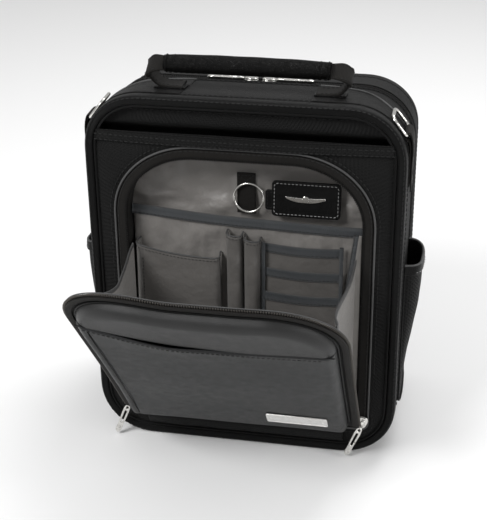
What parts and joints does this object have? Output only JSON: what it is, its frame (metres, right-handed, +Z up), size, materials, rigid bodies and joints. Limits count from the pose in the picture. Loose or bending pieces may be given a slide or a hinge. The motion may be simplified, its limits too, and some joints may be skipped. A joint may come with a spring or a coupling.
{
  "type": "flight bag",
  "caption": "Upright soft flight bag with a drop-down organizer flap, a front slip pocket, a zipped clamshell main compartment, side pockets, a carry handle and strap rings.",
  "frame": {"origin": "middle of the case's base, on the surface that the bag stands on", "axes": "+Z up, -Y towards the front organizer flap, +X to the right seen from the front"},
  "size_m": [0.2928, 0.3075, 0.3501],
  "materials": {
    "ballistic_nylon": "dense basket weave, matte",
    "welt_binding": "bound and piped edge, matte",
    "tape_webbing": "woven tape",
    "satin_lining": "satin nylon lining",
    "grip_leather": "grained, satin",
    "flap_leather": "smooth coated, soft gloss",
    "fob_leather": "smooth, stitched edge",
    "stiffener_board": "matte board",
    "nickel": "polished nickel plate"
  },
  "bodies": {
    "case": {"front_welt": "welt_binding", "front_panel": "ballistic_nylon", "front_gusset": "ballistic_nylon", "base_panel": "ballistic_nylon", "base_board": "stiffener_board", "slip_pocket_backing": "ballistic_nylon", "arch_piping": "welt_binding", "arch_zip_tape": "tape_webbing", "organizer_lining": "satin_lining", "organizer_wall": "satin_lining", "wide_pocket": "satin_lining", "wide_pocket_binding": "welt_binding", "phone_pocket": "satin_lining", "pen_sleeve_left": "satin_lining", "pen_sleeve_right": "satin_lining", "card_slot_top": "satin_lining", "card_slot_middle": "satin_lining", "card_slot_bottom": "satin_lining", "tall_slot": "satin_lining", "key_leash_tab": "tape_webbing", "flap_hinge_fold": "welt_binding", "flap_gusset_left": "satin_lining", "flap_gusset_right": "satin_lining", "main_zip_tape_front": "tape_webbing", "side_pocket_left": "ballistic_nylon", "side_pocket_right": "ballistic_nylon", "d_ring_tab_left": "tape_webbing", "d_ring_tab_right": "tape_webbing", "handle_base_left": "grip_leather", "handle_base_right": "grip_leather"},
    "flap": {"flap_panel": "ballistic_nylon", "flap_lining": "satin_lining", "flap_zip_tape": "tape_webbing", "flap_face": "flap_leather", "flap_upper_band": "flap_leather", "nameplate": "nickel"},
    "rear_shell": {"main_zip_tape_rear": "tape_webbing", "rear_gusset": "ballistic_nylon", "rear_welt": "welt_binding", "rear_panel": "ballistic_nylon", "back_board": "stiffener_board"},
    "handle": {"handle_grip": "grip_leather", "handle_band_left": "grip_leather", "handle_band_right": "grip_leather"},
    "d_ring_left": {"d_ring_left": "nickel"},
    "main_slider_left": {"main_zip_slider_left": "nickel"},
    "main_pull_left": {"main_zip_pull_left": "nickel"},
    "flap_slider_left": {"flap_zip_slider_left": "nickel"},
    "flap_pull_left": {"flap_zip_pull_left": "nickel"},
    "d_ring_right": {"d_ring_right": "nickel"},
    "main_slider_right": {"main_zip_slider_right": "nickel"},
    "main_pull_right": {"main_zip_pull_right": "nickel"},
    "flap_slider_right": {"flap_zip_slider_right": "nickel"},
    "flap_pull_right": {"flap_zip_pull_right": "nickel"},
    "key_ring": {"key_ring": "nickel"},
    "key_fob": {"key_fob": "fob_leather", "fob_badge": "nickel"}
  },
  "joints": [
    {"name": "flap_hinge", "type": "hinge", "parent": "case", "child": "flap", "pos_m": [0, -0.078, 0.03], "axis": [1, 0, 0], "range_deg": [-38, 0], "deforming": ["flap_gusset_left", "flap_gusset_right"]},
    {"name": "main_compartment_hinge", "type": "hinge", "parent": "case", "child": "rear_shell", "pos_m": [0, 0.072, 0], "axis": [-1, 0, 0], "range_deg": [0, 40]},
    {"name": "handle_fold", "type": "hinge", "parent": "case", "child": "handle", "pos_m": [0, -0.033, 0.327], "axis": [1, 0, 0], "range_deg": [-100, 20]},
    {"name": "d_ring_swing_left", "type": "hinge", "parent": "case", "child": "d_ring_left", "pos_m": [-0.13014, -0.047, 0.29498], "axis": [0, -1, 0], "range_deg": [0, 140]},
    {"name": "d_ring_swing_right", "type": "hinge", "parent": "case", "child": "d_ring_right", "pos_m": [0.13014, -0.047, 0.29498], "axis": [0, 1, 0], "range_deg": [0, 140]},
    {"name": "main_zip_travel_left", "type": "slide", "parent": "case", "child": "main_slider_left", "axis": [-1, 0, 0], "range_m": [0, 0.07]},
    {"name": "main_pull_swing_left", "type": "hinge", "parent": "main_slider_left", "child": "main_pull_left", "pos_m": [-0.0152, 0.01428, 0.31226], "axis": [0, 0.9899, -0.1414], "range_deg": [0, 110]},
    {"name": "main_zip_travel_right", "type": "slide", "parent": "case", "child": "main_slider_right", "axis": [1, 0, 0], "range_m": [0, 0.07]},
    {"name": "main_pull_swing_right", "type": "hinge", "parent": "main_slider_right", "child": "main_pull_right", "pos_m": [0.0152, 0.01428, 0.31226], "axis": [0, -0.9899, 0.1414], "range_deg": [0, 110]},
    {"name": "flap_zip_travel_left", "type": "slide", "parent": "case", "child": "flap_slider_left", "axis": [0, 0, 1], "range_m": [0, 0.15]},
    {"name": "flap_pull_swing_left", "type": "hinge", "parent": "flap_slider_left", "child": "flap_pull_left", "pos_m": [-0.10512, -0.0796, 0.03122], "axis": [-0.9272, 0, 0.3746], "range_deg": [0, 120]},
    {"name": "flap_zip_travel_right", "type": "slide", "parent": "case", "child": "flap_slider_right", "axis": [0, 0, 1], "range_m": [0, 0.15]},
    {"name": "flap_pull_swing_right", "type": "hinge", "parent": "flap_slider_right", "child": "flap_pull_right", "pos_m": [0.10288, -0.0796, 0.03122], "axis": [-0.9272, 0, 0.3746], "range_deg": [0, 120]},
    {"name": "key_ring_swing", "type": "hinge", "parent": "case", "child": "key_ring", "pos_m": [0.0015, -0.0539, 0.219], "axis": [1, 0, 0], "range_deg": [0, 75]},
    {"name": "key_fob_swing", "type": "hinge", "parent": "key_ring", "child": "key_fob", "pos_m": [0.0139, -0.05285, 0.23095], "axis": [0, -0.0872, -0.9962], "range_deg": [0, 70]}
  ]
}
